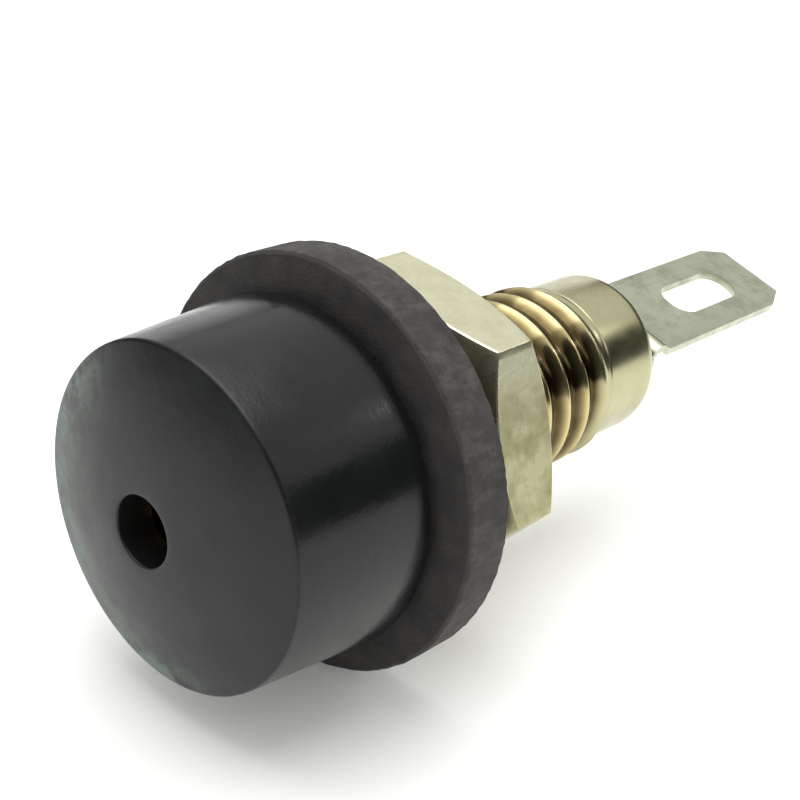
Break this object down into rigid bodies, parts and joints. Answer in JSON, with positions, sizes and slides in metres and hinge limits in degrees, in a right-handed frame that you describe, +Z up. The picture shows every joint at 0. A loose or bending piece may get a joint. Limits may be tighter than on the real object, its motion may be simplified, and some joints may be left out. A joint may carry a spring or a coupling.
{
  "type": "panel-mount cartridge fuse holder",
  "caption": "Panel-mount fuse holder with a screw cap, a threaded brass barrel and one solder lug, for a 5 x 20 mm glass cartridge fuse.",
  "frame": {"origin": "on the barrel axis, in the plane of the rubber washer's rear face, which seats on the panel", "axes": "+Y runs along the barrel axis from the cap to the solder lug, +Z is up, and the cap faces -Y"},
  "size_m": [0.0198, 0.048, 0.0198],
  "materials": {
    "cap_black_phenolic": "satin moulded phenolic",
    "insert_brass": "turned",
    "clip_phosphor_bronze": "pressed",
    "ferrule_nickel": "nickel plated",
    "fuse_glass": "clear",
    "fuse_element": "tinned wire",
    "solder": "dull solder",
    "barrel_brass": "bright rolled",
    "sleeve_fibre": "vulcanised fibre",
    "washer_black_rubber": "matte",
    "lock_washer_steel": "zinc plated",
    "nut_plated_brass": "pale plated",
    "plunger_brass": "turned",
    "spring_steel": "bright wire",
    "bush_fibre": "vulcanised fibre",
    "rivet_brass": "turned",
    "lug_tinned_brass": "dull tinned"
  },
  "bodies": {
    "barrel": {"barrel_shell": "barrel_brass", "insulating_sleeve": "sleeve_fibre", "rear_contact_spring": "spring_steel", "rear_insulating_bush": "bush_fibre", "rear_insulating_washer": "bush_fibre", "terminal_rivet": "rivet_brass", "solder_lug": "lug_tinned_brass"},
    "washer": {"rubber_washer": "washer_black_rubber"},
    "lock_washer": {"lock_washer": "lock_washer_steel"},
    "nut": {"hex_nut": "nut_plated_brass"},
    "fuse": {"fuse_glass_tube": "fuse_glass", "fuse_front_ferrule": "ferrule_nickel", "fuse_rear_ferrule": "ferrule_nickel", "fuse_front_solder": "solder", "fuse_rear_solder": "solder", "fuse_wire": "fuse_element"},
    "cap_contact": {"cap_contact_clip": "clip_phosphor_bronze"},
    "cap": {"cap_shell": "cap_black_phenolic", "cap_thread_insert": "insert_brass"},
    "rear_contact": {"rear_contact_plunger": "plunger_brass"}
  },
  "joints": [
    {"name": "fuse_draw", "type": "slide", "parent": "barrel", "child": "fuse", "axis": [0, -1, 0], "range_m": [0, 0.03]},
    {"name": "cap_rise", "type": "slide", "parent": "fuse", "child": "cap_contact", "axis": [0, -1, 0], "range_m": [0, 0.00476]},
    {"name": "cap_turn", "type": "hinge", "parent": "cap_contact", "child": "cap", "pos_m": [0, -0.00735, 0], "axis": [0, -1, 0], "range_deg": [0, 1080]},
    {"name": "washer_slide", "type": "slide", "parent": "barrel", "child": "washer", "axis": [0, 1, 0], "range_m": [0, 0.0017]},
    {"name": "nut_travel", "type": "slide", "parent": "barrel", "child": "lock_washer", "axis": [0, 1, 0], "range_m": [-0.00159, 0.00794]},
    {"name": "nut_turn", "type": "hinge", "parent": "lock_washer", "child": "nut", "pos_m": [0, 0.00475, 0], "axis": [0, 1, 0], "range_deg": [-360, 1800]},
    {"name": "contact_press", "type": "slide", "parent": "barrel", "child": "rear_contact", "axis": [0, 1, 0], "range_m": [0, 0.0014], "stiffness_N_per_m": 400, "deforming": ["rear_contact_spring"]}
  ],
  "couplings": [
    {"joint": "cap_turn", "follows": "cap_rise", "rad_per_m": 3957.9},
    {"joint": "nut_turn", "follows": "nut_travel", "rad_per_m": 3957.9}
  ]
}
